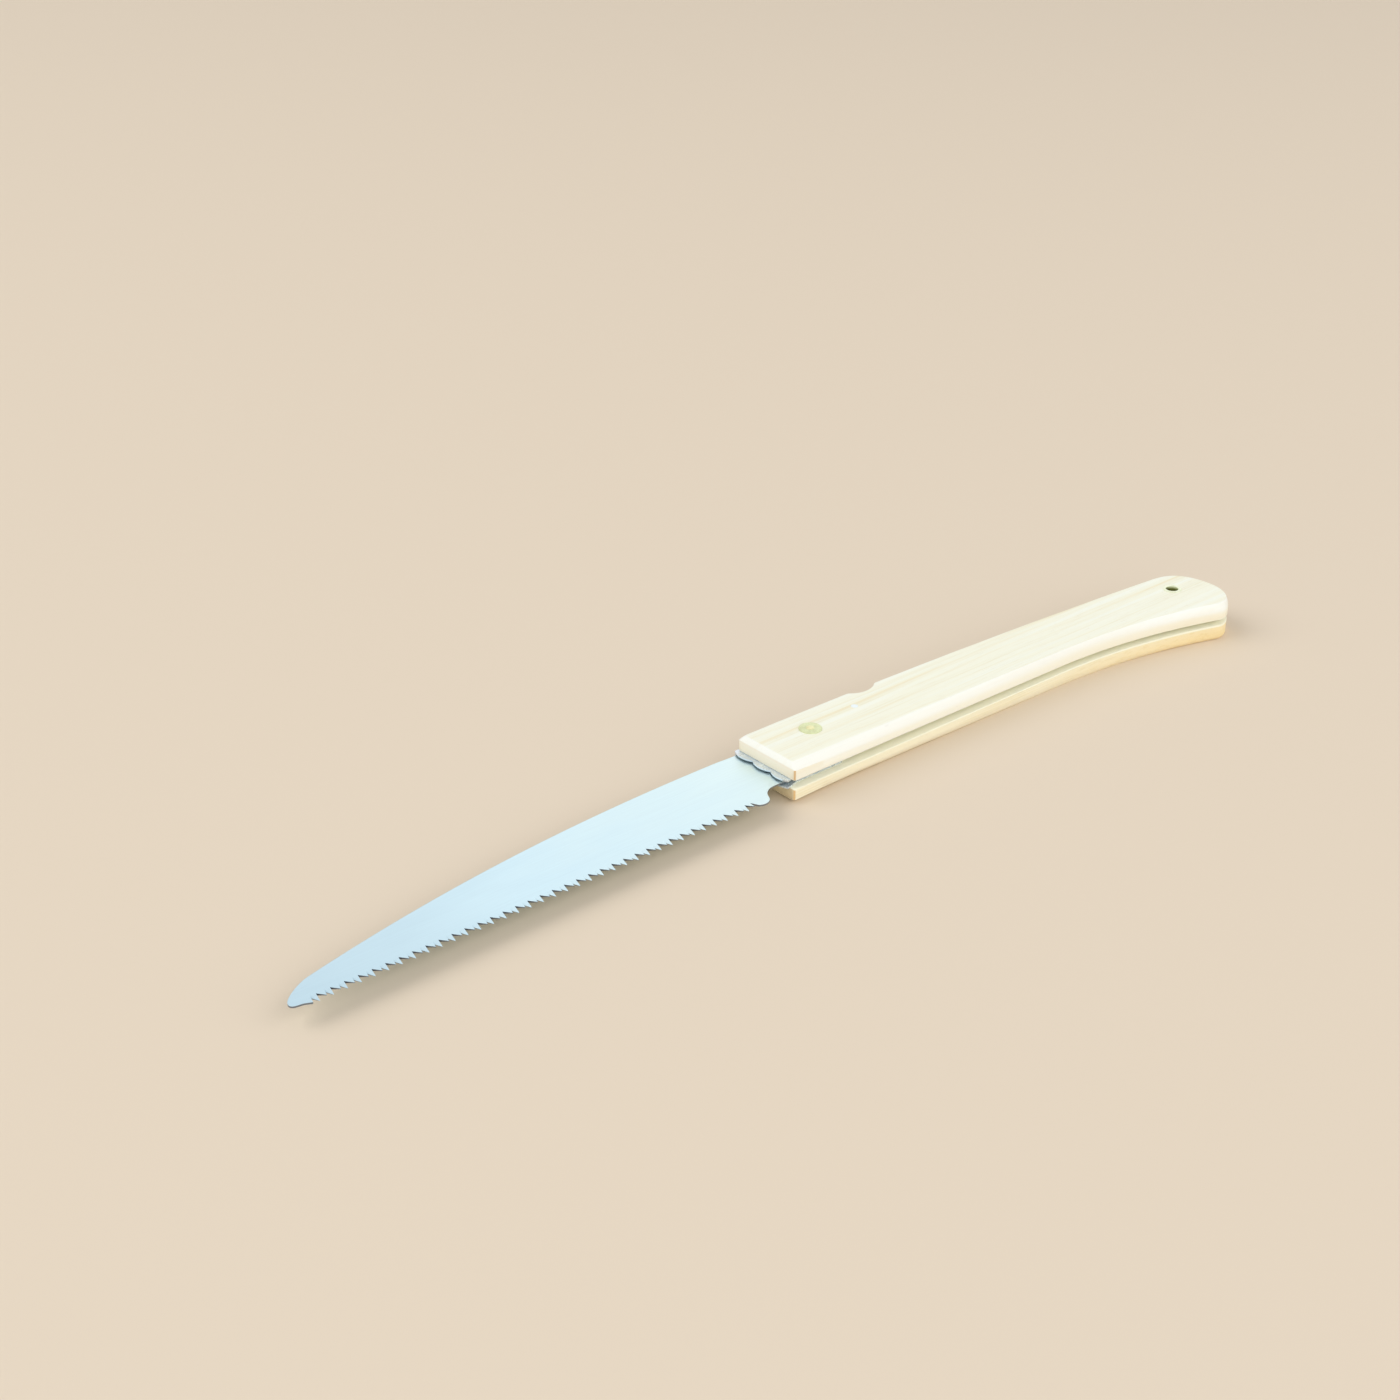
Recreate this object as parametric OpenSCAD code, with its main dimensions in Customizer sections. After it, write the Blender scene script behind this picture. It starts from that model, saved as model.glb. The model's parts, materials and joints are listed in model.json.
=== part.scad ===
// Folding bonsai saw lying on its side with the blade open.
// All sizes are in millimetres. The plan is drawn around the pivot, X towards the butt,
// Y towards the spine side, and then moved so that the origin is the centre of the base.

/* [View] */
// Piece to draw

/* [Handle] */
// Thickness of the handle from face to face
handle_t = 13.2; // [11:0.1:16]
// Width of the slot between the two scales at the pivot
slot_t = 2.8; // [2.4:0.1:3.4]
// Width of the slot at the end of the butt
slot_back_t = 1.8; // [1.4:0.1:3]
// Where the slot starts to narrow, behind the pivot
taper_start = 26; // [25:0.5:40]
// Distance from the pivot to the front end of the wood
handle_front = 19.7; // [16:0.1:24]
// Distance from the pivot to the end of the butt
handle_back = 180.5; // [160:0.1:200]
// Distance from the pivot line to the tooth side of the grip
tooth_side = 14.6; // [13:0.1:18]
// Distance from the pivot line to the spine side of the grip
spine_side = 11; // [9:0.1:14]
// Where the tooth side starts to flare towards the butt
flare_start = 99; // [80:1:120]
// Radius of the flare on the tooth side
flare_r = 225; // [180:5:300]
// Radius of the long curve on the spine side, which starts beside the pivot
spine_bend_r = 2330; // [1500:10:3000]
// Radius of the front corners seen from above
front_corner_r = 0.8; // [0.3:0.1:2]

/* [Butt] */
// Where the rounded butt begins on the tooth side
butt_join = 168; // [150:1:172]
// Where the rounded butt begins on the spine side
spine_join = 166; // [150:1:170]
// Middle of the rounded butt end, measured from the pivot line
butt_mid = -11.5; // [-16:0.1:-6]
// Fullness of the tooth-side corner along the flare
tooth_corner = 4.5; // [2:0.5:12]
// Fullness of the tooth-side corner along the butt
tooth_corner_end = 10; // [6:0.5:14]
// Fullness of the spine-side corner along the spine
spine_corner = 7.5; // [4:0.5:12]
// Fullness of the spine-side corner along the butt
spine_corner_end = 12.5; // [8:0.5:16]

/* [Rounded edges] */
// Height of the rounded edge along the faces
round_h = 3.3; // [1:0.1:4.5]
// Height of the rounded edge at the front end
round_front_h = 1.6; // [0.8:0.1:3.3]
// Width of the rounded edge on the tooth side at the front
round_tooth = 3.1; // [1:0.1:4]
// Width of that edge at its narrowest place
round_tooth_mid = 1; // [0.5:0.1:3]
// Width of that edge towards the butt
round_tooth_back = 2.6; // [0.5:0.1:4]
// Distance of the narrowest place from the pivot
round_mid_x = 115; // [80:1:140]
// How quickly that edge narrows and widens
round_power = 1.3; // [1:0.1:2]
// Width of the rounded edge on the spine side
round_spine = 1.4; // [1:0.1:3]
// Width of the rounded edge at the butt
round_butt = 0.8; // [0.5:0.1:2.5]
// Width of the rounded edge at the front
round_front = 1.6; // [0.5:0.1:2.5]
// How quickly the width changes from the sides to the ends
round_blend = 4; // [1:1:6]
// Share of the rounded edge that is left on the lower scale at the butt
low_share = 0.35; // [0.2:0.05:1]
// Edge break along the mouth of the slot at the front
slot_break = 0.45; // [0.1:0.05:0.8]
// Edge break along the mouth of the slot at the butt
slot_break_back = 0.25; // [0.1:0.05:0.8]

/* [Thumb notch] */
// Distance of the notch from the pivot
notch_x = 30.7; // [25:0.1:40]
// Length of the notch along the spine side
notch_len = 13.5; // [8:0.5:18]
// Depth of the notch
notch_depth = 3.6; // [1:0.1:5]

/* [Blade] */
// Thickness of the blade
blade_t = 0.7; // [0.5:0.05:1]
// Distance from the pivot to the tip
blade_reach = 191.7; // [170:0.1:210]
// Highest point of the spine, measured back from the pivot
spine_top_x = -30; // [-50:0.5:-26]
// Height of the spine there
spine_top_y = 10.75; // [9:0.05:14]
// Fall of the spine where the rounded tip begins
spine_fall = 17.75; // [14:0.05:24]
// How sharply the spine curves down
spine_power = 2.17; // [1.6:0.01:3]
// Where the spine runs into the handle
neck_x = -21.5; // [-26:0.1:-19]
// Height of the spine there
neck_y = 10.4; // [9:0.1:12]
// Radius of the tang around the pivot
tang_r = 10.5; // [8:0.1:12]

/* [Blade tip] */
// Length of the rounded tip
nose_len = 10; // [4:0.1:12]
// Height of the foremost point
nose_front_y = -14.6; // [-16:0.1:-10]
// Fullness of the tip below the spine
nose_reach = 3; // [2:0.1:6]
// Fullness of the tip above the foremost point
nose_drop = 2.6; // [1:0.1:4]
// Fullness of the tip below the foremost point
chin_drop = 1.9; // [0.5:0.1:3]
// Fullness of the chin
chin_soft = 1.3; // [0.5:0.1:3]
// Length of the chin curve
chin_len = 3.6; // [2:0.1:5]
// Rise of the chin over its length
chin_rise = 0.9; // [0:0.05:1.5]
// Distance from the end of the chin to the first tooth point
chin_gap = 1.8; // [0.5:0.1:3]
// Height of the end of the chin above the tooth points, negative when it reaches past them
chin_lift = -0.22; // [-0.5:0.02:1]

/* [Blade heel] */
// Radius of the hollow behind the heel
hollow_r = 6; // [4:0.1:8]
// Middle of the hollow, measured back from the pivot
hollow_x = -24.4; // [-28:0.1:-20]
// Lower edge of the tang in front of the handle
tang_edge_y = -10.85; // [-12:0.05:-9]
// Radius of the rounded heel
heel_r = 3.5; // [2:0.1:5]
// Direction from the middle of the hollow to the heel
heel_turn = 160; // [140:1:175]
// Direction in which the heel meets the last gullet
heel_from = -125; // [-150:1:-90]

/* [Teeth] */
// Number of teeth
tooth_count = 72; // [40:1:100]
// Distance from one tooth point to the next
tooth_pitch = 2.07; // [1.5:0.01:3]
// Depth of a gullet
tooth_h = 2.9; // [1.5:0.1:4]
// Share of the pitch that is the long back slope
tooth_lean = 0.62; // [0.4:0.01:0.8]
// First tooth point, measured back from the pivot
first_tooth_x = -184.4; // [-200:0.1:-170]
// Line of the points at the tip end
tooth_y_tip = -17.23; // [-20:0.01:-14]
// Line of the points at the heel end
tooth_y_heel = -16.44; // [-20:0.01:-14]

/* [Fold] */
// Angle that the blade turns through to lie in the slot
fold_deg = 170; // [160:1:174]
// Gap left between the tooth points and the spacer when folded
fold_gap = 0.9; // [0.4:0.1:2]
// Where the spacer begins behind the pivot
spacer_start = 52; // [46:1:70]

/* [Liner] */
// Thickness of the liner sheet
liner_t = 0.5; // [0.3:0.05:0.8]
// Reach of the three lobes past the front of the wood
lobe_reach = 2.1; // [1:0.1:4]
// Reach of the points between the lobes
cusp_reach = 1.0; // [0.3:0.1:2]
// Distance from the pivot line to the tooth side of the lobes
liner_tooth = 12.9; // [11:0.1:14]
// Distance from the pivot line to the tooth side of the liner behind the lobes
liner_side = 11.5; // [11.3:0.1:14]
// Length over which the liner narrows behind the front of the wood
liner_waist = 4; // [1:0.1:8]
// Reach of the tooth side of the liner behind the pivot
liner_end = 4; // [2:0.1:10]
// Corner radius at that end of the liner
liner_corner = 2; // [0.5:0.1:3]
// Gap between the tang and the folded edge of the liner
stop_gap = 0.3; // [0.1:0.05:0.5]
// Width of the liner tail around its pin
tail_w = 8; // [5:0.5:10]

/* [Pivot] */
// Diameter of the rivet shank
rivet_d = 2.6; // [2:0.1:5]
// Running clearance of the blade on the shank, on the radius
rivet_clear = 0.05; // [0.01:0.01:0.1]
// Diameter of the rivet head and of its burr
burr_d = 7.3; // [5:0.1:9]
// Thickness of the rivet head and of its burr
burr_t = 0.8; // [0.5:0.1:1.2]
// How far the burr stands above the wood
burr_proud = 0.35; // [0.1:0.05:0.6]
// Height of the peened end of the rivet above the burr
peen_h = 0.12; // [0.05:0.01:0.3]
// Flat share of the peened end
peen_flat = 0.7; // [0.3:0.05:0.9]
// Diameter of the washers beside the tang
washer_d = 8; // [6:0.1:10]
// Gap between each washer and the tang
washer_gap = 0.05; // [0.02:0.01:0.1]

/* [Liner pins] */
// Distance of the pins behind the pivot
pin_x = 20.6; // [16:0.1:22]
// Distance of the pins from the pivot line
pin_y = 2; // [-4:0.1:6]
// Diameter of the pins
pin_d = 2.3; // [1.5:0.1:3]

/* [Lanyard eyelet] */
// Distance of the eyelet behind the pivot
eyelet_x = 165.9; // [150:0.1:172]
// Distance of the eyelet from the pivot line
eyelet_y = -6; // [-12:0.1:0]
// Diameter of the hole
eyelet_bore = 4.2; // [3:0.1:6]
// Wall of the tube
eyelet_wall = 0.45; // [0.3:0.05:0.8]
// Diameter of the flange and of the washer
flange_d = 6.4; // [6:0.1:10]
// Thickness of the flange
flange_t = 0.4; // [0.3:0.05:0.6]

/* [Hidden] */
$fn = 64;
far = 400;
// Play of a part that sits in a bore, and depth of a shallow seat or recess
snug = 0.02;
seat = 0.05;
mid_z = handle_t / 2;
slot_low = mid_z - slot_t / 2;
slot_high = mid_z + slot_t / 2;
slot_fall = (slot_t - slot_back_t) / 2 / (handle_back - taper_start);
rivet_r = rivet_d / 2;
burr_r = burr_d / 2;
pin_r = pin_d / 2;
bore_r = eyelet_bore / 2;
tube_r = bore_r + eyelet_wall;
flange_r = flange_d / 2;
washer_t = slot_t / 2 - liner_t - blade_t / 2 - washer_gap;

// Points of a cubic curve, without its last point
function curve(a, b, c, d, n) = [for (i = [0 : n - 1]) let (t = i / n, u = 1 - t)
    u * u * u * a + 3 * u * u * t * b + 3 * u * t * t * c + t * t * t * d];

// Points of an arc from angle a to angle b, both ends included
function arc(c, r, a, b, n) = [for (i = [0 : n]) let (w = a + (b - a) * i / n)
    c + r * [cos(w), sin(w)]];

// Plan outline of the handle, counterclockwise, starting at the front on the tooth side
function flare_at(x) = [x, -tooth_side - flare_r + sqrt(flare_r * flare_r - pow(x - flare_start, 2))];
function spine_side_at(x) = [x, spine_side - spine_bend_r + sqrt(spine_bend_r * spine_bend_r - x * x)];
side_steps = 7;
corner_steps = 9;
front_steps = 3;
front_x = -handle_front + front_corner_r;
front_tooth = arc([front_x, -tooth_side + front_corner_r], front_corner_r, 180, 270, front_steps);
front_spine = arc([front_x, spine_side - front_corner_r], front_corner_r, 90, 180, front_steps);
flare_turn = asin((butt_join - flare_start) / flare_r);
spine_turn = asin(spine_join / spine_bend_r);
flare_side = [for (i = [0 : side_steps - 1])
    flare_at(flare_start + (butt_join - flare_start) * i / side_steps)];
spine_curve = [for (i = [0 : side_steps])
    spine_side_at(spine_join + (taper_start - spine_join) * i / side_steps)];
butt_end = [handle_back, butt_mid];
butt_tooth = curve(flare_at(butt_join),
    flare_at(butt_join) + tooth_corner * [cos(flare_turn), -sin(flare_turn)],
    butt_end - [0, tooth_corner_end], butt_end, corner_steps);
butt_spine = curve(butt_end, butt_end + [0, spine_corner_end],
    spine_side_at(spine_join) + spine_corner * [cos(spine_turn), -sin(spine_turn)],
    spine_side_at(spine_join), corner_steps);
outline = concat(front_tooth, [[taper_start, -tooth_side]], flare_side,
    butt_tooth, butt_spine, spine_curve, front_spine);
count = len(outline);

// Outward direction of the outline at a point
function away(i) = let (d = outline[(i + 1) % count] - outline[(i + count - 1) % count])
    [d[1], -d[0]] / norm(d);

// Width of the rounded edge on the tooth side, which is narrowest in the middle of the grip
function tooth_w(x) = x < round_mid_x
    ? round_tooth_mid + (round_tooth - round_tooth_mid)
        * pow((round_mid_x - x) / (round_mid_x + handle_front), round_power)
    : round_tooth_mid + (round_tooth_back - round_tooth_mid) * pow(along(x, round_mid_x), round_power);

// Width of the rounded edge at x for a side that faces n
function round_w(x, n) = let (end_w = n[0] > 0 ? round_butt : round_front,
    side_w = n[1] > 0 ? round_spine : tooth_w(x))
    end_w + (side_w - end_w) * pow(n[1] * n[1], round_blend);

// Height of the rounded edge, which is low at the front end
function round_z(i) = i <= front_steps || i >= count - 1 - front_steps ? round_front_h : round_h;

// Way in from an outline point: the small front corners keep their shape and shift as a whole
function inward(i, share, inset) = let (n = away(i))
    i <= front_steps ? [share * round_front + inset, share * round_tooth + inset]
    : i >= count - 1 - front_steps ? [share * round_front + inset, -share * round_spine - inset]
    : -(share * round_w(outline[i][0], n) + inset) * n;

// Height of the upper slot face, which slopes from the liner to the butt
function slot_top(x) = slot_high - slot_fall * max(0, x - taper_start);

// Share of the way from a start to the end of the butt
function along(x, start) = min(1, max(0, (x - start) / (handle_back - start)));

// Ring of the scale on the slot side, and ring at a share of the rounded edge
function slot_ring(in, up) = [for (i = [0 : count - 1])
    let (b = slot_break + (slot_break_back - slot_break) * along(outline[i][0], taper_start),
        p = outline[i] + inward(i, 0, in * b))
    [p[0], p[1], slot_top(p[0]) + up * b]];
function edge_ring(share, rise, keep) = [for (i = [0 : count - 1])
    let (p = outline[i] + inward(i, share * (1 - (1 - keep) * along(outline[i][0], flare_start)), 0))
    [p[0], p[1], handle_t - round_z(i) * (1 - rise)]];

// The rounded edge stops short of a full quarter, so the face keeps a crisp border
round_stop = 65;
round_steps = 4;
function rings(keep) = concat([slot_ring(1, 0), slot_ring(0, 1)],
    [for (k = [0 : round_steps]) let (w = round_stop * k / round_steps)
        edge_ring((1 - cos(w)) / (1 - cos(round_stop)), sin(w) / sin(round_stop), keep)]);
ring_count = round_steps + 3;

// Teeth, each with a long back slope and a short front
first_tooth = [first_tooth_x, tooth_y_tip];
last_tooth_x = first_tooth_x + (tooth_count - 1) * tooth_pitch;
function tooth_line(x) = tooth_y_tip
    + (tooth_y_heel - tooth_y_tip) * (x - first_tooth_x) / (last_tooth_x - first_tooth_x);
teeth = [for (k = [0 : tooth_count - 1], half = [0, 1])
    let (x = first_tooth_x + k * tooth_pitch, g = x - tooth_lean * tooth_pitch)
    half == 0 ? [g, tooth_line(g) + tooth_h] : [x, tooth_line(x)]];
last_gullet_x = last_tooth_x + (1 - tooth_lean) * tooth_pitch;
last_gullet = [last_gullet_x, tooth_line(last_gullet_x) + tooth_h];

// Spine, neck and tip of the blade
nose_start_x = -blade_reach + nose_len;
spine_run = spine_top_x - nose_start_x;
function spine_at(x) = [x, spine_top_y - spine_fall * pow((spine_top_x - x) / spine_run, spine_power)];
spine_steps = 14;
spine = [for (i = [0 : spine_steps - 1]) spine_at(spine_top_x - spine_run * i / spine_steps)];
neck_steps = 6;
neck = [for (i = [0 : neck_steps - 1]) let (t = i / neck_steps)
    [neck_x + (spine_top_x - neck_x) * t, neck_y + (spine_top_y - neck_y) * (1 - cos(180 * t)) / 2]];
nose_slope = [-1, -spine_fall * spine_power / spine_run];
nose_start = spine_at(nose_start_x);
nose_front = [-blade_reach, nose_front_y];
nose_steps = 8;
nose = curve(nose_start, nose_start + nose_reach * nose_slope / norm(nose_slope),
    nose_front + [0, nose_drop], nose_front, nose_steps);
chin_end = first_tooth + [-chin_gap, chin_lift];
chin_start = [-blade_reach + chin_len, chin_end[1] + chin_rise];
chin_dir = (chin_end - chin_start) / norm(chin_end - chin_start);
chin_steps = 5;
chin = curve(nose_front, nose_front - [0, chin_drop],
    chin_start - chin_soft * chin_dir, chin_start, chin_steps);

// Heel and tang of the blade
hollow_c = [hollow_x, tang_edge_y - hollow_r];
heel_c = hollow_c + (hollow_r + heel_r) * [cos(heel_turn), sin(heel_turn)];
heel_steps = 8;
heel = concat(arc(heel_c, heel_r, heel_from, heel_turn - 180, heel_steps),
    arc(hollow_c, hollow_r, heel_turn, 90, heel_steps));
tang_steps = 24;
tang = arc([0, 0], tang_r, -90, 90, tang_steps);
blade_outline = concat(heel, tang, neck, spine, nose, chin, [chin_start, chin_end],
    teeth, [last_gullet]);

// Slot edge of the spacer: the folded line of tooth points, moved away by the gap
function folded(p) = [p[0] * cos(fold_deg) - p[1] * sin(fold_deg),
                      p[0] * sin(fold_deg) + p[1] * cos(fold_deg)];
rest_a = folded([last_tooth_x, tooth_y_heel]);
rest_b = folded(first_tooth);
rest_dir = (rest_b - rest_a) / norm(rest_b - rest_a);
rest_0 = rest_a + fold_gap * [-rest_dir[1], rest_dir[0]];
function slot_edge(x) = rest_0 + rest_dir * (x - rest_0[0]) / rest_dir[0];

// Liner plan
wall_in = tang_r + stop_gap;
wall_out = wall_in + liner_t;
liner_w = wall_out + liner_tooth;
lobe_w = liner_w / 3;
lobe_mid = (wall_out - liner_tooth) / 2;
lobe_sag = lobe_reach - cusp_reach;
lobe_r = (lobe_w * lobe_w / 4 + lobe_sag * lobe_sag) / (2 * lobe_sag);
lobe_x = -handle_front - lobe_reach + lobe_r;
cusp_x = -handle_front - cusp_reach;
waist_x = liner_waist - handle_front;
tail = [pin_x, pin_y];
tail_r = tail_w / 2;
tail_dir = atan2(pin_y, pin_x);
tail_wrap = acos((wall_out - tail_r) / norm(tail));

// Box of the whole saw, and the move that puts the origin at the centre of its base
saw_x = [-blade_reach, handle_back];
saw_y = [min([for (p = outline) p[1]]), max(wall_out, spine_side)];
move = [-(saw_x[0] + saw_x[1]) / 2, -(saw_y[0] + saw_y[1]) / 2, 0];

wood = [0.93, 0.83, 0.62];
steel = [0.72, 0.76, 0.79];
bright = [0.82, 0.84, 0.85];
brass = [0.80, 0.68, 0.36];

module place() {
    translate(move) children();
}

module post(x, y, r, low, high) {
    translate([x, y, low]) cylinder(r = r, h = high - low);
}

// The flat faces are strips that join the tooth side to the spine side
module scale_blank(keep) {
    top = (ring_count - 1) * count;
    polyhedron(
        points = [for (r = rings(keep)) each r],
        faces = concat(
            [for (i = [0 : count / 2 - 2]) [i, i + 1, count - 2 - i, count - 1 - i]],
            [for (k = [0 : ring_count - 2], i = [0 : count - 1])
                [k * count + i, (k + 1) * count + i,
                 (k + 1) * count + (i + 1) % count, k * count + (i + 1) % count]],
            [for (i = [0 : count / 2 - 2])
                [top + count - 1 - i, top + count - 2 - i, top + i + 1, top + i]]));
}

module notch() {
    r = (notch_len * notch_len / 4 + notch_depth * notch_depth) / (2 * notch_depth);
    post(notch_x, spine_side - notch_depth + r, r, -1, handle_t + 1);
}

module scale_half(keep, head_t, ring_t) {
    difference() {
        scale_blank(keep);
        notch();
        post(0, 0, rivet_r + snug, 0, far);
        post(0, 0, burr_r + snug, handle_t - head_t, far);
        post(pin_x, pin_y, pin_r + snug, 0, far);
        post(eyelet_x, eyelet_y, tube_r + snug, 0, far);
        post(eyelet_x, eyelet_y, flange_r + snug, handle_t - ring_t, far);
    }
}

module scale_top() {
    color(wood) place()
        scale_half(1, burr_t - burr_proud, seat);
}

module scale_bottom() {
    color(wood) place() translate([0, 0, handle_t]) mirror([0, 0, 1])
        scale_half(low_share, burr_t + seat, 2 * flange_t + seat);
}

// Wedge between the two slot faces, cut to the outline of the handle and to the slot edge
module spacer() {
    rise = slot_top(far) - mid_z;
    color(wood) place() difference() {
        intersection() {
            linear_extrude(handle_t) polygon(outline);
            linear_extrude(handle_t)
                polygon([slot_edge(spacer_start), slot_edge(far), [far, far], [spacer_start, far]]);
            translate([0, far / 2, mid_z]) rotate([90, 0, 0]) linear_extrude(far) polygon([
                [taper_start, -slot_t / 2], [far, -rise], [far, rise], [taper_start, slot_t / 2]]);
        }
        post(eyelet_x, eyelet_y, tube_r + snug, 0, far);
    }
}

module liner_plan(low) {
    intersection() {
        union() {
            for (k = [-1, 0, 1])
                post(lobe_x, lobe_mid + k * lobe_w, lobe_r, low, low + liner_t);
            translate([cusp_x, -liner_tooth, low]) cube([-cusp_x, liner_w, liner_t]);
        }
        translate([0, 0, low]) linear_extrude(liner_t) polygon([
            [-far, -liner_tooth], [cusp_x, -liner_tooth], [waist_x, -liner_side],
            [0, -liner_side], [0, wall_out], [-far, wall_out]]);
    }
    translate([0, -liner_side, low]) cube([liner_end - liner_corner, liner_side, liner_t]);
    translate([0, liner_corner - liner_side, low])
        cube([liner_end, liner_side - liner_corner, liner_t]);
    post(liner_end - liner_corner, liner_corner - liner_side, liner_corner, low, low + liner_t);
    post(0, 0, wall_out, low, low + liner_t);
    post(pin_x, pin_y, tail_r, low, low + liner_t);
    translate([0, 0, low]) linear_extrude(liner_t) polygon([
        wall_out * [cos(tail_dir - tail_wrap), sin(tail_dir - tail_wrap)],
        tail + tail_r * [cos(tail_dir - tail_wrap), sin(tail_dir - tail_wrap)],
        tail + tail_r * [cos(tail_dir + tail_wrap), sin(tail_dir + tail_wrap)],
        wall_out * [cos(tail_dir + tail_wrap), sin(tail_dir + tail_wrap)]]);
}

module liner() {
    color(steel) place() difference() {
        union() {
            liner_plan(slot_low);
            liner_plan(slot_high - liner_t);
            translate([cusp_x, wall_in, slot_low]) cube([-cusp_x, liner_t, slot_t]);
        }
        post(0, 0, rivet_r + snug, 0, far);
        post(pin_x, pin_y, pin_r + snug, 0, far);
    }
}

module saw_blade() {
    color(bright) place() difference() {
        translate([0, 0, mid_z - blade_t / 2]) linear_extrude(blade_t) polygon(blade_outline);
        post(0, 0, rivet_r + rivet_clear, 0, far);
    }
}

module pivot_rivet() {
    top = handle_t + burr_proud;
    color(brass) place() rotate_extrude() polygon([
        [0, seat], [burr_r, seat], [burr_r, seat + burr_t], [rivet_r, seat + burr_t],
        [rivet_r, top], [rivet_r * peen_flat, top + peen_h], [0, top + peen_h]]);
}

module rivet_burr() {
    color(brass) place() difference() {
        post(0, 0, burr_r, handle_t - burr_t + burr_proud, handle_t + burr_proud);
        post(0, 0, rivet_r + snug, 0, far);
    }
}

module pivot_washers() {
    color(brass) place() difference() {
        union() {
            post(0, 0, washer_d / 2, slot_low + liner_t, slot_low + liner_t + washer_t);
            post(0, 0, washer_d / 2, slot_high - liner_t - washer_t, slot_high - liner_t);
        }
        post(0, 0, rivet_r + snug, 0, far);
    }
}

module liner_pins() {
    color(steel) place() {
        post(pin_x, pin_y, pin_r, seat, slot_low + liner_t);
        post(pin_x, pin_y, pin_r, slot_high - liner_t, handle_t);
    }
}

module lanyard_eyelet() {
    high = handle_t - seat + flange_t;
    lip_r = (tube_r + flange_r) / 2;
    color(brass) place() translate([eyelet_x, eyelet_y, 0]) rotate_extrude() polygon([
        [bore_r, seat], [lip_r, seat], [lip_r, seat + flange_t], [tube_r, seat + flange_t],
        [tube_r, high - flange_t], [flange_r, high - flange_t], [flange_r, high - flange_t / 2],
        [flange_r - flange_t, high], [bore_r, high]]);
}

module eyelet_washer() {
    color(brass) place() difference() {
        post(eyelet_x, eyelet_y, flange_r, seat + flange_t, seat + 2 * flange_t);
        post(eyelet_x, eyelet_y, tube_r + snug, 0, far);
    }
}

scale_top();
scale_bottom();
spacer();
liner();
saw_blade();
pivot_rivet();
rivet_burr();
pivot_washers();
liner_pins();
lanyard_eyelet();
eyelet_washer();
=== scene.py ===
"""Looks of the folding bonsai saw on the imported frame. Plan sizes are in millimetres from the pivot."""

import json
import math

import bmesh
import bpy
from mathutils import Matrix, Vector, noise


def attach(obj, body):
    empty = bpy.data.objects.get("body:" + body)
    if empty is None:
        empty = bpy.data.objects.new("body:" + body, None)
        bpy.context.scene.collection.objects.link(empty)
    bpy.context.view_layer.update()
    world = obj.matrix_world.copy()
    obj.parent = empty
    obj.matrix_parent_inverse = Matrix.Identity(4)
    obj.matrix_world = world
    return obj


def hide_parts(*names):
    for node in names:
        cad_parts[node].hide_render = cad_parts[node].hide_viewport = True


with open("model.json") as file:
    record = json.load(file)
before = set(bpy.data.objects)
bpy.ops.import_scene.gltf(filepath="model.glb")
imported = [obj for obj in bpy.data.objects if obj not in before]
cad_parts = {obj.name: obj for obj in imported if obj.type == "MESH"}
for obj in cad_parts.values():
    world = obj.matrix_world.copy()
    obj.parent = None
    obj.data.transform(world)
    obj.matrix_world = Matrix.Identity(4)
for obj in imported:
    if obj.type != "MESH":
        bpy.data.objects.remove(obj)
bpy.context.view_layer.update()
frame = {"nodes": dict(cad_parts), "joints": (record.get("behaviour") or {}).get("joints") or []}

MM = 0.001
PIVOT = Vector(frame["joints"][0]["pos_m"]) / MM
ORIGIN = Vector((0, 0))

# Handle outline
HANDLE_T = 13.2
MID = HANDLE_T / 2
HANDLE_FRONT = 19.7
TOOTH_SIDE = 14.6
SPINE_SIDE = 11.0
FLARE_START = 99.0
FLARE_R = 225.0
SPINE_BEND_R = 2330.0
FRONT_CORNER_R = 0.8
BUTT_JOIN = 168.0
SPINE_JOIN = 166.0
BUTT_END = Vector((180.5, -11.5))
TOOTH_CORNER = (4.5, 10.0)
SPINE_CORNER = (7.5, 12.5)
SIDE_STEP = 2.0
CORNER_STEPS = 7
BUTT_STEPS = 30

# Thumb notch
NOTCH_X = 30.7
NOTCH_LEN = 13.5
NOTCH_DEPTH = 3.6
NOTCH_SOFT = 0.3
NOTCH_BREAK = 0.3
NOTCH_REACH = 9.0
NOTCH_STEP = 0.4

# Slot between the scales
SLOT_T = 2.8
SLOT_BACK_T = 1.8
TAPER_START = 26.0
SLOT_BREAK = 0.45
SLOT_BREAK_BACK = 0.25
BREAK_STEPS = 4
SPACER_START = 52.0
FOLD = math.radians(170)
FOLD_GAP = 0.9

# Rounded edges of the scales
ROUND_H = 3.3
ROUND_FRONT_H = 1.6
ROUND_TOOTH = 3.1
ROUND_TOOTH_MID = 1.0
ROUND_TOOTH_BACK = 2.6
ROUND_MID_X = 115.0
ROUND_POWER = 1.3
ROUND_SPINE = 1.4
ROUND_BUTT = 0.8
ROUND_FRONT = 1.6
ROUND_BLEND = 4
CHAMFER_FRONT = 0.75
CHAMFER_SIDE = 0.15
ROUND_STOP = math.radians(65)
ROUND_STEPS = 10
ROUND_WAVE = 0.05
ROUND_WAVE_RATE = 0.09
ROUND_WAVE_LAYER = 3.0
FULL_SHARE = 1.0
LOW_SHARE = 0.35
FACE_BORDER = 0.12

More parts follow.
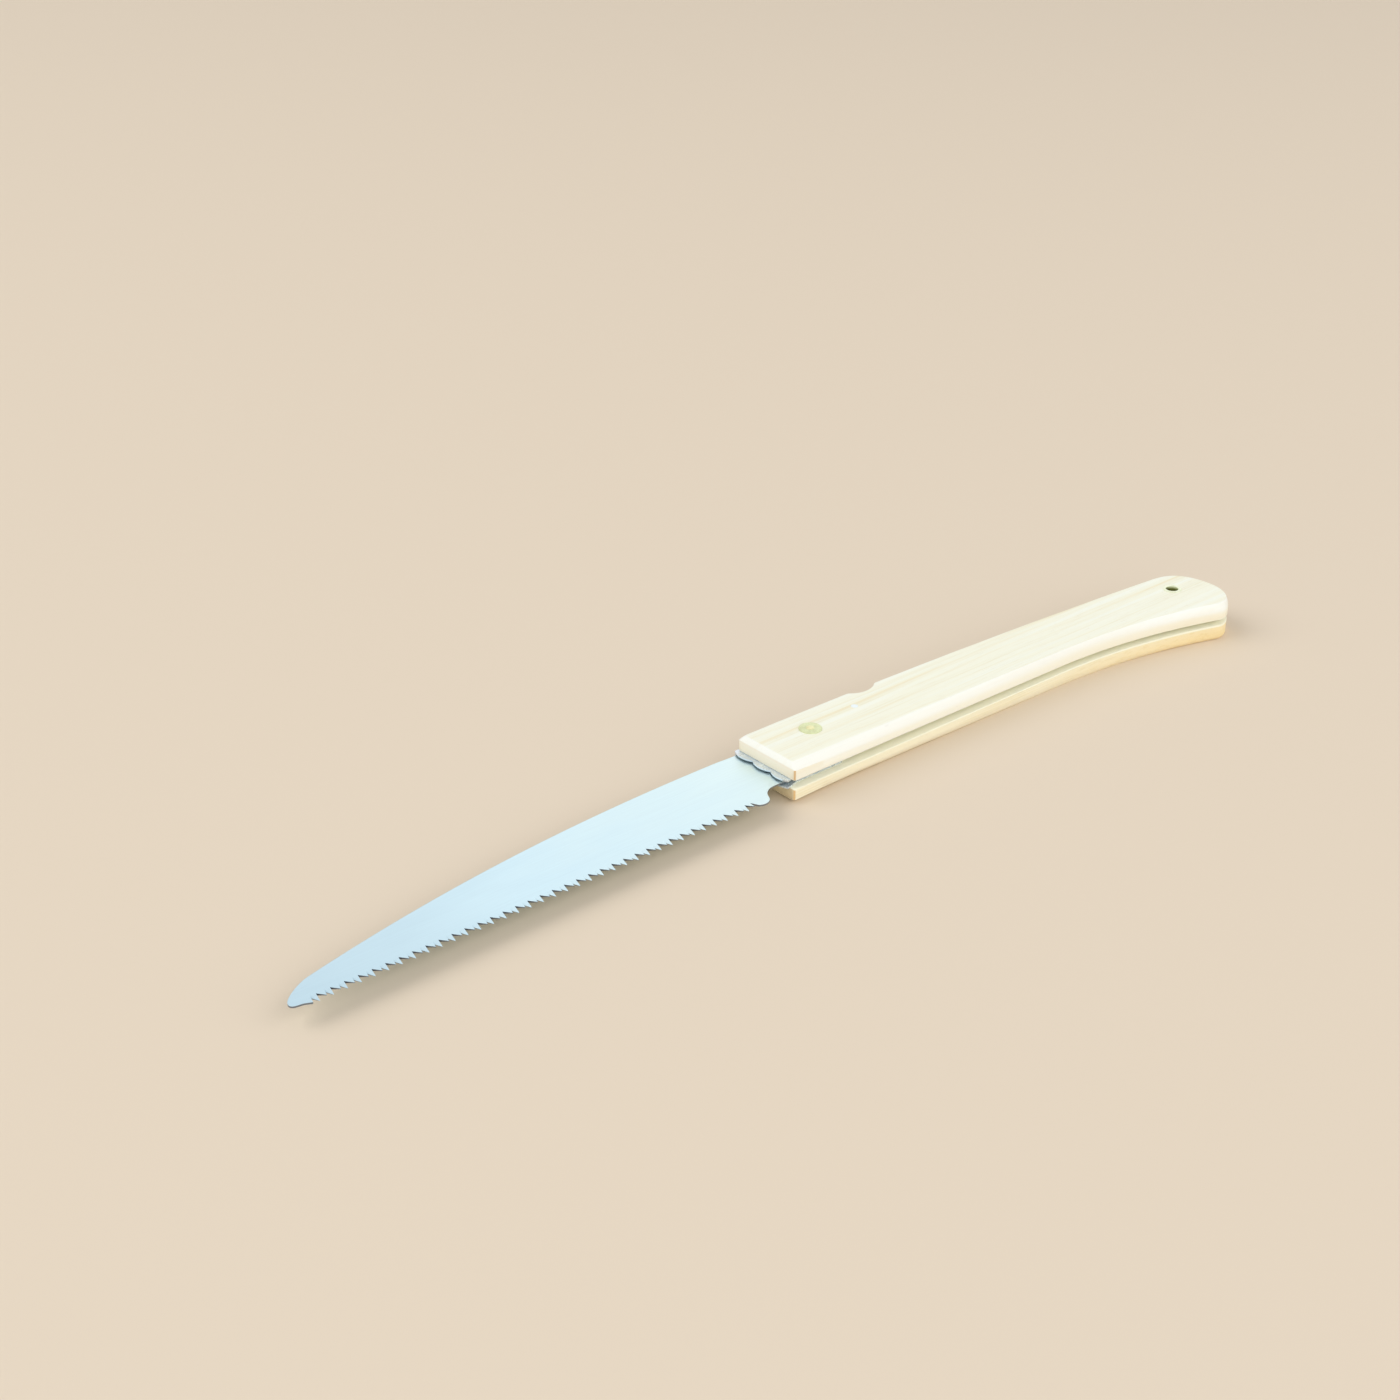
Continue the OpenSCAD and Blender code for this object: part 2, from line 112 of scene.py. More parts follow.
# Blade
BLADE_T = 0.7
BLADE_REACH = 191.7
BLADE_EDGE = 0.1
GULLET_EDGE = 0.01
SPINE_TOP = Vector((-30.0, 10.75))
SPINE_FALL = 17.75
SPINE_POWER = 2.17
NECK = Vector((-21.5, 10.4))
TANG_R = 10.5
NOSE_LEN = 10.0
NOSE_FRONT = Vector((-BLADE_REACH, -14.6))
NOSE_PULL = (3.0, 2.6)
CHIN_PULL = (1.9, 1.3)
CHIN_LEN = 3.6
CHIN_RISE = 0.9
CHIN_END = Vector((-2.1, -0.22))
HOLLOW_R = 6.0
HOLLOW_C = Vector((-24.4, -16.85))
HEEL_R = 3.5
HEEL_TURN = 160.0
HEEL_FROM = -125.0
SPINE_STEPS = 60
CURVE_STEPS = 14

# Teeth
TOOTH_COUNT = 72
TOOTH_PITCH = 2.07
TOOTH_H = 2.5
TOOTH_LEAN = 0.85
FIRST_TOOTH = Vector((-184.1, -17.23))
LAST_TOOTH_X = FIRST_TOOTH.x + (TOOTH_COUNT - 1) * TOOTH_PITCH
TOOTH_Y_HEEL = -16.44
TOOTH_SET = 0.38
TOOTH_EDGE = 0.09
TOOTH_BEVEL = 0.4

# Rivet, pins and eyelet; profiles are (radius, height) from the lower face of the handle
RIVET_R = 1.3
RIVET_HOLE = 1.35
BURR_R = 3.65
BURR_SEAT = 12.75
PIN = Vector((20.6, 2.0))
PIN_HOLE = 1.17
EYELET = Vector((165.9, -6.0))
EYELET_HOLE = 2.57
EYELET_LIP = 3.22
EYELET_SEAT = HANDLE_T - 0.05
LOW_SEAT = 0.85
HOLE_GAP = 0.02
BELOW, ABOVE = -1.0, HANDLE_T + 1.0
LATHE_STEPS = 96
PEEN_WAVE = 0.04
PEEN_WAVE_RATE = 1.6
MERGE_M = 1e-7
BURR_PROFILE = (
    (1.32, 12.75), (3.55, 12.75), (3.65, 12.85), (3.65, 13.26), (3.61, 13.39), (3.5, 13.48), (3.3, 13.53),
    (2.9, 13.55), (2.1, 13.545), (1.45, 13.53), (1.32, 13.5))
RIVET_PROFILE = (
    (0, 0.05), (3.1, 0.05), (3.45, 0.1), (3.62, 0.24), (3.65, 0.4), (3.65, 0.75), (3.55, 0.85),
    (1.3, 0.85), (1.3, 13.52), (1.27, 13.57), (1.17, 13.61), (0.95, 13.645), (0.6, 13.665), (0.25, 13.66),
    (0, 13.655))
EYELET_PROFILE = (
    (2.1, 0.3), (2.14, 0.16), (2.26, 0.08), (2.45, 0.05), (2.68, 0.07), (2.82, 0.16), (2.87, 0.3),
    (2.84, 0.45), (2.55, 0.45), (2.55, 13.15), (3.18, 13.15), (3.2, 13.22), (3.17, 13.33), (3.08, 13.43),
    (2.93, 13.51), (2.72, 13.55), (2.5, 13.54), (2.3, 13.48), (2.16, 13.37), (2.1, 13.2))

# Edges: angles in degrees above which an edge stays sharp, and softened edges of CAD nodes
WOOD_SHARP = 38
BLADE_SHARP = 25
BRASS_SHARP = 50
SOFT_ANGLE = math.radians(40)
SOFT_STEPS = 3
SOFT_WELD_M = 2e-6
LINER_SOFT = 0.22
PIN_SOFT = 0.1
WASHER_SOFT = 0.05

# Wood: colours, noise scales per metre, and zones as (value at share 0, value at share 1)
WOOD_TONES = ((0.28, (0.90, 0.83, 0.60)), (0.46, (0.94, 0.925, 0.76)), (0.66, (0.95, 0.955, 0.83)))
STREAK_TONES = ((0.3, (0.88, 0.82, 0.68)), (0.52, (1.0, 1.0, 1.0)))
STREAK_SHARE = 0.4
PORE_COLOUR, PORE_SHARE = (0.60, 0.45, 0.24), 0.3
# Painted highlight: pale colour for faces that tilt away from flat, above all the rounded edges
EDGE_HIGHLIGHT_COLOUR, EDGE_HIGHLIGHT_SHARE = (0.95, 0.95, 0.90), 0.75
# Painted shade: yellow tint for upright walls
WALL_SHADE_COLOUR, WALL_SHADE_SHARE = (0.95, 0.87, 0.58), 0.28
# Painted shade: yellow tint for the lower scale's tilted faces
LOW_SHADE_COLOUR, LOW_SHADE_TINT = (0.95, 0.86, 0.58), 0.65
# Painted warm bounce light on the lower butt
WARM_BOUNCE_COLOUR, WARM_BOUNCE_TINT = (0.96, 0.70, 0.26), 0.65
# Painted light that pales the faces at the slot's height
SLOT_LIGHT_COLOUR, SLOT_LIGHT_TINT = (0.97, 0.95, 0.77), 0.85
END_COLOUR, END_SHARE = (0.84, 0.68, 0.38), 0.3
# Painted shade on the lower scale's end faces
LOW_END_SHADE_COLOUR, LOW_END_SHADE_SHARE = (0.66, 0.48, 0.24), 0.45
CORNER_COLOUR, CORNER_SHARE = (0.74, 0.42, 0.12), 0.75
MARK_COLOUR, MARK_SHARE = (0.55, 0.50, 0.42), 0.15
DRIFT_SCALE, BROAD_SCALE, FINE_SCALE = (7, 40, 40), (5, 260, 220), (14, 1500, 1300)
PORE_SCALE, MARK_SCALE = (130, 5200, 5200), (700, 1600, 1600)
DRIFT_Y, DRIFT_Z = 0.003, 0.002
PORE_ZONE, MARK_ZONE = (0.62, 0.74), (0.72, 0.8)
EDGE_SLOPE, WALL_SLOPE, UPRIGHT_SLOPE = (0.985, 0.93), (0.35, 0.05), (0.5, 0.15)
END_SLOPE, CORNER_SLOPE, CORNER_STOP = (0.72, 0.98), (0.2, 0.5), (0.97, 0.85)
SLOT_ZONE = (4.9 * MM, 5.15 * MM)
SLOT_ZONE_UP = (HANDLE_T * MM - SLOT_ZONE[0], HANDLE_T * MM - SLOT_ZONE[1])
LOW_SHADE_ZONE = (7.6 * MM, 6.4 * MM)
WARM_BOUNCE_ZONE = (11.0 * MM, 2.0 * MM)
BUTT_ZONE = ((PIVOT.x + 90) * MM, (PIVOT.x + 178) * MM)
FRONT_ZONE = ((PIVOT.x - HANDLE_FRONT + 1.2) * MM, (PIVOT.x - HANDLE_FRONT + 0.6) * MM)

# Metals: each pair is dull and light
# Steel tones, with a painted reflection that pales towards the heel
STEEL_TONE_AND_REFLECTION = ((0.0, (0.58, 0.755, 0.85)), (0.5, (0.705, 0.895, 0.975)), (1.0, (0.82, 0.97, 0.98)))
STEEL_LINES = ((0.3, (0.84, 0.86, 0.88)), (0.7, (1.0, 1.0, 1.0)))
STEEL_REFLECTION_ZONE = ((PIVOT.x - BLADE_REACH) * MM, (PIVOT.x - HANDLE_FRONT) * MM)
LINE_SHARE = 0.3
SCRATCH_COLOUR, SCRATCH_SHARE = (0.85, 0.9, 0.93), 0.2
SCRATCH_ZONE = (0.7, 0.78)
# Painted shade on cut edges and tooth flanks
CUT_SHADE_COLOUR, CUT_SHADE_SHARE = (0.17, 0.17, 0.21), 0.85
CUT_SLOPE = (0.42, 0.2)
LINE_TURN, SCRATCH_TURN = (0, 0, math.radians(4)), (0, 0, math.radians(-11))
SHEET = ((0.66, 0.74, 0.82), (0.84, 0.91, 0.96))
SHEET_METAL = 0.65
WIRE = ((0.87, 0.95, 0.97), (0.94, 0.98, 0.99))
PALE_BRASS = ((0.85, 0.89, 0.65), (0.96, 0.99, 0.79))
SATIN_BRASS = ((0.71, 0.745, 0.44), (0.81, 0.86, 0.535))
PEENED_BRASS = ((0.85, 0.79, 0.45), (0.95, 0.92, 0.55))
BRASS_MARKS = ((0.35, (0.75, 0.75, 0.72)), (0.6, (1.0, 1.0, 1.0)))
BRASS_MARK_SHARE = 0.25
# Painted shade on brass inside the handle
BORE_SHADE, BORE_SHADE_SHARE = (0.32, 0.33, 0.07), 0.9
BORE_SHADE_TOP, BORE_SHADE_FOOT = (12.9 * MM, 12.3 * MM), (0.3 * MM, 1.0 * MM)

# Camera, stage and light; lamps are (name, place in metres, size, watts, colour) and aim at the origin
CAMERA_AT = Vector((-391.5, -410.5, 322.5))
LOOK_FLAT = Vector((0.6455, 0.7638))
LOOK_DOWN = math.radians(27.5)
LENS = 54.98
SENSOR = 36.0
CLIP = (0.01, 50)
FLOOR_SIZE = 12.0
FLOOR_Z = -2e-5
FLOOR_COLOUR = (0.79, 0.67, 0.53)
FLOOR_ROUGH = 0.85
FLOOR_GLOSS = 0.2
SKY_COLOUR = (0.94, 0.97, 1.0)
SKY_LIGHT = 0.46
SKY_SEEN = (1.0, 1.0, 1.0)
LAMPS = (("key", (-3.0, 2.25, 3.6), 4.6, 124, (1.0, 0.99, 0.97)),
         ("fill_left", (-2.0, -3.7, 2.6), 5.0, 79, (1.0, 1.0, 1.0)),
         ("fill_right", (2.2, -3.6, 2.6), 5.0, 86, (1.0, 1.0, 1.0)))


def on_curve(a, b, c, d, steps):
    """Points of a cubic curve, without its last point."""
    points = []
    for i in range(steps):
        t = i / steps
        u = 1 - t
        points.append(u * u * u * a + 3 * u * u * t * b + 3 * u * t * t * c + t * t * t * d)
    return points


def on_arc(centre, r, start, end, steps):
    """Points of an arc between two angles in degrees, both ends included."""
    turn = [math.radians(start + (end - start) * i / steps) for i in range(steps + 1)]
    return [centre + r * Vector((math.cos(w), math.sin(w))) for w in turn]


def spread(start, end, step):
    """Evenly spread values from start up to, but not including, end."""
    n = max(1, round(abs(end - start) / step))
    return [start + (end - start) * i / n for i in range(n)]


def clamp(value):
    return min(1.0, max(0.0, value))


def lerp(a, b, t):
    return a + (b - a) * t


# Handle


def flare_at(x):
    """Point of the tooth side, which flares out towards the butt."""
    drop = FLARE_R - math.sqrt(FLARE_R ** 2 - max(0.0, x - FLARE_START) ** 2)
    return Vector((x, -TOOTH_SIDE - drop))


def spine_side_at(x):
    """Point of the slightly bent spine side."""
    return Vector((x, SPINE_SIDE - SPINE_BEND_R + math.sqrt(SPINE_BEND_R ** 2 - x * x)))


def notched(p, inset):
    """Point of a ring near the spine side, kept out of the soft-edged thumb notch."""
    r = (NOTCH_LEN ** 2 / 4 + NOTCH_DEPTH ** 2) / (2 * NOTCH_DEPTH)
    inside = r * r - (p.x - NOTCH_X) ** 2
    if inside <= 0 or p.y < 0:
        return p
    floor = SPINE_SIDE - NOTCH_DEPTH + r - math.sqrt(inside) - inset
    gap = p.y - floor
    return Vector((p.x, p.y - (gap + math.sqrt(gap * gap + NOTCH_SOFT ** 2)) / 2))


def butt_outline():
    """Rounded butt, from the flare of the tooth side to the spine side."""
    flare, spine_end = flare_at(BUTT_JOIN), spine_side_at(SPINE_JOIN)
    flare_turn = math.asin((BUTT_JOIN - FLARE_START) / FLARE_R)
    spine_turn = math.asin(SPINE_JOIN / SPINE_BEND_R)
    flare_pull = TOOTH_CORNER[0] * Vector((math.cos(flare_turn), -math.sin(flare_turn)))
    spine_pull = SPINE_CORNER[0] * Vector((math.cos(spine_turn), -math.sin(spine_turn)))
    low = on_curve(flare, flare + flare_pull, BUTT_END - Vector((0, TOOTH_CORNER[1])), BUTT_END, BUTT_STEPS)
    high = on_curve(BUTT_END, BUTT_END + Vector((0, SPINE_CORNER[1])), spine_end + spine_pull, spine_end,
                    BUTT_STEPS)
    return low + high


def handle_outline():
    """Counterclockwise plan of the handle without its thumb notch, from its front on the tooth side."""
    r = FRONT_CORNER_R
    front_x = -HANDLE_FRONT + r
    tooth_front = on_arc(Vector((front_x, -TOOTH_SIDE + r)), r, 180, 270, CORNER_STEPS)
    spine_front = on_arc(Vector((front_x, SPINE_SIDE - r)), r, 90, 180, CORNER_STEPS)
    tooth = [flare_at(x) for x in spread(front_x, BUTT_JOIN, SIDE_STEP)[2:]]
    back, near = NOTCH_X + NOTCH_REACH, NOTCH_X - NOTCH_REACH
    xs = spread(SPINE_JOIN, back, SIDE_STEP) + spread(back, near, NOTCH_STEP)
    xs += spread(near, front_x, SIDE_STEP)[:-2]
    return tooth_front + tooth + butt_outline() + [spine_side_at(x) for x in xs] + spine_front


OUTLINE = handle_outline()
COUNT = len(OUTLINE)


def outward(i):
    d = OUTLINE[(i + 1) % COUNT] - OUTLINE[i - 1]
    return Vector((d.y, -d.x)).normalized()


def along(x, start):
    """Share of the way from a start to the butt."""
    return clamp((x - start) / (BUTT_END.x - start))


def from_front(x):
    """Share of the way from the front corners to where the rounded edge has its full height."""
    return clamp((x + HANDLE_FRONT - FRONT_CORNER_R) / (TAPER_START + HANDLE_FRONT - FRONT_CORNER_R))


def tooth_width(x):
    """Width of the rounded edge on the tooth side, which is narrowest in the middle of the grip."""
    if x < ROUND_MID_X:
        share, end = (ROUND_MID_X - x) / (ROUND_MID_X + HANDLE_FRONT), ROUND_TOOTH
    else:
        share, end = along(x, ROUND_MID_X), ROUND_TOOTH_BACK
    return lerp(ROUND_TOOTH_MID, end, share ** ROUND_POWER)


def round_width(i):
    """Width of the rounded edge, which is narrow at the ends and a little uneven."""
    p, n = OUTLINE[i], outward(i)
    end_w = ROUND_BUTT if n.x > 0 else ROUND_FRONT
    side_w = ROUND_SPINE if n.y > 0 else tooth_width(p.x)
    w = end_w + (side_w - end_w) * (n.y * n.y) ** ROUND_BLEND
    at = Vector((p.x * ROUND_WAVE_RATE, p.y * ROUND_WAVE_RATE, ROUND_WAVE_LAYER))
    return w * (1 + ROUND_WAVE * noise.noise(at))


WIDTHS = [round_width(i) for i in range(COUNT)]


def moved_in(i, share, inset):
    """Outline point moved in by a share of the rounded edge and an inset; front corners shift as a whole."""
    p = OUTLINE[i]
    if i <= CORNER_STEPS:
        return p + Vector((share * ROUND_FRONT + inset, share * ROUND_TOOTH + inset))
    if i >= COUNT - 1 - CORNER_STEPS:
        return p + Vector((share * ROUND_FRONT + inset, -share * ROUND_SPINE - inset))
    return notched(p - (share * WIDTHS[i] + inset) * outward(i), NOTCH_BREAK * share ** 2 + inset)


def slot_top(x):
    """Height of the slot's upper face, which falls towards the butt."""
    fall = (SLOT_T - SLOT_BACK_T) / 2 / (BUTT_END.x - TAPER_START)
    return MID + SLOT_T / 2 - fall * max(0.0, x - TAPER_START)


def slot_rings():
    """Rings over the broken edge between a scale's slot face and its wall."""
    rings = []
    for k in range(BREAK_STEPS + 1):
        w = math.pi / 2 * k / BREAK_STEPS
        ring = []
        for i in range(COUNT):
            size = lerp(SLOT_BREAK, SLOT_BREAK_BACK, along(OUTLINE[i].x, TAPER_START))
            p = moved_in(i, 0, size * (1 - math.sin(w)))
            ring.append((p.x, p.y, slot_top(p.x) + size * (1 - math.cos(w))))
        rings.append(ring)
    return rings


def edge_rings(keep):
    """Rings over a scale's rounded edge to its outer face; keep is the share of the edge left at the butt."""
    rings = []
    for k in range(ROUND_STEPS + 2):
        t = min(k, ROUND_STEPS) / ROUND_STEPS
        w = ROUND_STOP * t
        border = FACE_BORDER if k > ROUND_STEPS else 0
        ring = []
        for i in range(COUNT):
            way = from_front(OUTLINE[i].x)
            flat = lerp(CHAMFER_FRONT, CHAMFER_SIDE, way)
            share = lerp((1 - math.cos(w)) / (1 - math.cos(ROUND_STOP)), t, flat)
            rise = lerp(math.sin(w) / math.sin(ROUND_STOP), t, flat)
            left = 1 - (1 - keep) * along(OUTLINE[i].x, FLARE_START)
            p = moved_in(i, share * left, border)
            ring.append((p.x, p.y, HANDLE_T - left * lerp(ROUND_FRONT_H, ROUND_H, way) * (1 - rise)))
        rings.append(ring)
    return rings


def flipped(rings):
    """The same rings for the lower scale, mirrored about the middle of the handle."""
    return [[(x, y, HANDLE_T - z) for x, y, z in ring] for ring in rings]


# Mesh building


def to_row(p):
    """Point from the pivot in millimetres to the row frame in metres."""
    return Vector(((p[0] + PIVOT.x) * MM, (p[1] + PIVOT.y) * MM, p[2] * MM))


def new_object(name, bm):
    """Mesh object from a bmesh, with its faces turned outwards."""
    bmesh.ops.recalc_face_normals(bm, faces=bm.faces)
    mesh = bpy.data.meshes.new(name)
    bm.to_mesh(mesh)
    bm.free()
    obj = bpy.data.objects.new(name, mesh)
    bpy.context.scene.collection.objects.link(obj)
    return obj


def ring_solid(name, rings):
    """Closed solid from rings of equal length; its two ends are flat faces."""
    bm = bmesh.new()
    verts = [[bm.verts.new(to_row(p)) for p in ring] for ring in rings]
    n = len(rings[0])
    for a, b in zip(verts, verts[1:]):
        for i in range(n):
            j = (i + 1) % n
            bm.faces.new((a[i], a[j], b[j], b[i]))
    first = bm.faces.new(verts[0])
    bm.faces.new(verts[-1])
    bmesh.ops.triangulate(bm, faces=[first])
    return new_object(name, bm)


def lathe(name, centre, profile, wave=0.0):
    """Turned piece from a closed profile of (radius, height); a wave makes it slightly out of round."""
    bm = bmesh.new()
    rings = []
    for k in range(LATHE_STEPS):
        w = 2 * math.pi * k / LATHE_STEPS
        swell = 1 + wave * noise.noise(Vector((math.cos(w), math.sin(w), 0.0)) * PEEN_WAVE_RATE)
        rings.append([bm.verts.new(to_row((centre.x + r * swell * math.cos(w),
                                           centre.y + r * swell * math.sin(w), z))) for r, z in profile])
    n = len(profile)
    for k in range(LATHE_STEPS):
        a, b = rings[k], rings[(k + 1) % LATHE_STEPS]
        for i in range(n):
            j = (i + 1) % n
            bm.faces.new((a[i], b[i], b[j], a[j]))
    bmesh.ops.remove_doubles(bm, verts=bm.verts, dist=MERGE_M)
    return new_object(name, bm)


def drill(obj, holes):
    """Cuts round holes, each (centre, radius, low, high), through a piece."""
    bm = bmesh.new()
    for centre, r, low, high in holes:
        rim = on_arc(centre, r, 0, 360, LATHE_STEPS)[:-1]
        a = [bm.verts.new(to_row((p.x, p.y, low))) for p in rim]
        b = [bm.verts.new(to_row((p.x, p.y, high))) for p in rim]
        bm.faces.new(a)
        bm.faces.new(b)
        for i in range(LATHE_STEPS):
            bm.faces.new((a[i - 1], a[i], b[i], b[i - 1]))
    cutter = new_object("cutter", bm)
    cut = obj.modifiers.new("holes", "BOOLEAN")
    cut.operation, cut.solver, cut.object = "DIFFERENCE", "EXACT", cutter
    shape = obj.evaluated_get(bpy.context.evaluated_depsgraph_get())
    obj.data = bpy.data.meshes.new_from_object(shape)
    obj.modifiers.clear()
    bpy.data.objects.remove(cutter)


def smooth(obj, degrees):
    obj.data.shade_smooth()
    obj.data.set_sharp_from_angle(angle=math.radians(degrees))


def soften(node, width):
    """Small rounded edges on a carried-over CAD node."""
    weld = node.modifiers.new("weld", "WELD")
    weld.merge_threshold = SOFT_WELD_M
    bevel = node.modifiers.new("edges", "BEVEL")
    bevel.width, bevel.segments = width * MM, SOFT_STEPS
    bevel.limit_method, bevel.angle_limit = "ANGLE", SOFT_ANGLE


def paint(obj, material):
    obj.data.materials.clear()
    obj.data.materials.append(material)


def finish_piece(obj, body, material, node):
    """Puts a finished piece on its body, in place of its CAD node."""
    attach(obj, body)
    paint(obj, material)
    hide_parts(node)


# Spacer


def folded(p):
    """Point of the blade when it is folded."""
    c, s = math.cos(FOLD), math.sin(FOLD)
    return Vector((p.x * c - p.y * s, p.x * s + p.y * c))


def spacer_plan():
    """Outline between the folded tooth points, plus a gap, and the spine side of the handle."""
    a, b = folded(Vector((LAST_TOOTH_X, TOOTH_Y_HEEL))), folded(FIRST_TOOTH)
    run = (b - a).normalized()
    base = a + FOLD_GAP * Vector((-run.y, run.x))

    def height(p):
        return p.y - (base.y + run.y / run.x * (p.x - base.x))

    plan = []
    for i in range(COUNT):
        p, q = OUTLINE[i - 1], OUTLINE[i]
        if p.x > SPACER_START and height(p) < 0 <= height(q):
            plan.append(lerp(p, q, -height(p) / (height(q) - height(p))))
        if q.x > SPACER_START and height(q) > 0:
            plan.append(q)
    start = Vector((SPACER_START, SPINE_SIDE))
    plan.append(spine_side_at(SPACER_START))
    plan.append(start - Vector((0, height(start))))
    return plan


# Blade


def tooth_y(x):
    """Height of the line of tooth points in plan."""
    share = (x - FIRST_TOOTH.x) / (LAST_TOOTH_X - FIRST_TOOTH.x)
    return lerp(FIRST_TOOTH.y, TOOTH_Y_HEEL, share)


def gullets():
    xs = [FIRST_TOOTH.x + (k - TOOTH_LEAN) * TOOTH_PITCH for k in range(TOOTH_COUNT + 1)]
    return [Vector((x, tooth_y(x) + TOOTH_H)) for x in xs]


def bent_down(k):
    """Every second tooth is bent down and ground on its upper side."""
    return k < TOOTH_COUNT and k % 2 == 0


def heel_outline():
    """Rounded heel, the hollow behind it and the round tang."""
    turn = math.radians(HEEL_TURN)
    heel_c = HOLLOW_C + (HOLLOW_R + HEEL_R) * Vector((math.cos(turn), math.sin(turn)))
    heel = on_arc(heel_c, HEEL_R, HEEL_FROM, HEEL_TURN - 180, CURVE_STEPS)
    hollow = on_arc(HOLLOW_C, HOLLOW_R, HEEL_TURN, 90, 2 * CURVE_STEPS)
    tang = on_arc(ORIGIN, TANG_R, -90, 90, 3 * CURVE_STEPS)
    return heel + hollow[1:] + tang


def spine_outline():
    """Neck and spine of the blade, from the tang to the tip."""
    neck = []
    for t in spread(0, 1, 1 / CURVE_STEPS):
        ease = (1 - math.cos(math.pi * t)) / 2
        neck.append(Vector((lerp(NECK.x, SPINE_TOP.x, t), lerp(NECK.y, SPINE_TOP.y, ease))))
    run = SPINE_TOP.x + BLADE_REACH - NOSE_LEN
    spine = [Vector((SPINE_TOP.x - run * t, SPINE_TOP.y - SPINE_FALL * t ** SPINE_POWER))
             for t in spread(0, 1, 1 / SPINE_STEPS)]
    return neck + spine


def tip_outline():
    """Rounded tip, from the end of the spine to the first gullet."""
    run = SPINE_TOP.x + BLADE_REACH - NOSE_LEN
    top = Vector((SPINE_TOP.x - run, SPINE_TOP.y - SPINE_FALL))
    slope = Vector((-1, -SPINE_FALL * SPINE_POWER / run)).normalized()
    nose = on_curve(top, top + NOSE_PULL[0] * slope, NOSE_FRONT + Vector((0, NOSE_PULL[1])), NOSE_FRONT,
                    CURVE_STEPS)
    end = FIRST_TOOTH + CHIN_END
    start = Vector((-BLADE_REACH + CHIN_LEN, end.y + CHIN_RISE))
    chin = on_curve(NOSE_FRONT, NOSE_FRONT - Vector((0, CHIN_PULL[0])),
                    start - CHIN_PULL[1] * (end - start).normalized(), start, CURVE_STEPS)
    return nose + chin + [start, end]


def blade_rings():
    """Plate outline at its four levels, with the place of its first gullet."""
    back = heel_outline() + spine_outline() + tip_outline()
    plan = back + gullets()
    rings = [[], [], [], []]
    low, high = MID - BLADE_T / 2, MID + BLADE_T / 2
    for i, p in enumerate(plan):
        d = plan[(i + 1) % len(plan)] - plan[i - 1]
        edge = BLADE_EDGE if i < len(back) else GULLET_EDGE
        q = p - edge * Vector((d.y, -d.x)).normalized()
        ground = i >= len(back) and bent_down(i - len(back))
        shift = TOOTH_BEVEL if ground else 0.0
        heights = (low, MID if ground else low + edge, high - edge, high)
        for ring, at, z, move in zip(rings, (q, p, p, q), heights, (0.0, 0.0, shift, shift)):
            ring.append((at.x + move, at.y, z))
    return rings, len(back)


def add_tooth(bm, rings, verts, first, k):
    """One tooth between two gullets, bent to its side; a tooth that is bent down has a ground flank."""
    i, j = first + k, first + k + 1
    x = FIRST_TOOTH.x + k * TOOTH_PITCH
    z = MID + (-TOOTH_SET if bent_down(k) else TOOTH_SET)
    point = Vector((x, tooth_y(x), z + TOOTH_EDGE))
    if bent_down(k):
        point = point.lerp(Vector(rings[-1][j]), TOOTH_BEVEL / TOOTH_PITCH)
    low = bm.verts.new(to_row((x, tooth_y(x), z - TOOTH_EDGE)))
    high = bm.verts.new(to_row(point))
    bm.faces.new((verts[0][i], verts[0][j], low))
    bm.faces.new((verts[-1][i], verts[-1][j], high))
    if bent_down(k):
        bm.faces.new((verts[0][i], verts[1][i], low))
        bm.faces.new([ring[i] for ring in verts[1:]] + [high, low])
    else:
        bm.faces.new([ring[i] for ring in verts] + [high, low])
    bm.faces.new([ring[j] for ring in verts] + [high, low])


def make_blade():
    """Thin plate with bevelled edges and teeth that are bent to either side in turn."""
    rings, first = blade_rings()
    bm = bmesh.new()
    verts = [[bm.verts.new(to_row(p)) for p in ring] for ring in rings]
    n = len(rings[0])
    for i in range(n):
        j = (i + 1) % n
        if i < first or j == 0:
            for a, b in zip(verts, verts[1:]):
                bm.faces.new((a[i], a[j], b[j], b[i]))
    bm.faces.new(verts[0])
    bm.faces.new(verts[-1])
    for k in range(TOOTH_COUNT):
        add_tooth(bm, rings, verts, first, k)
    blade = new_object("blade_plate", bm)
    drill(blade, [(ORIGIN, RIVET_HOLE, 0, HANDLE_T)])
    smooth(blade, BLADE_SHARP)
    return blade


# Materials


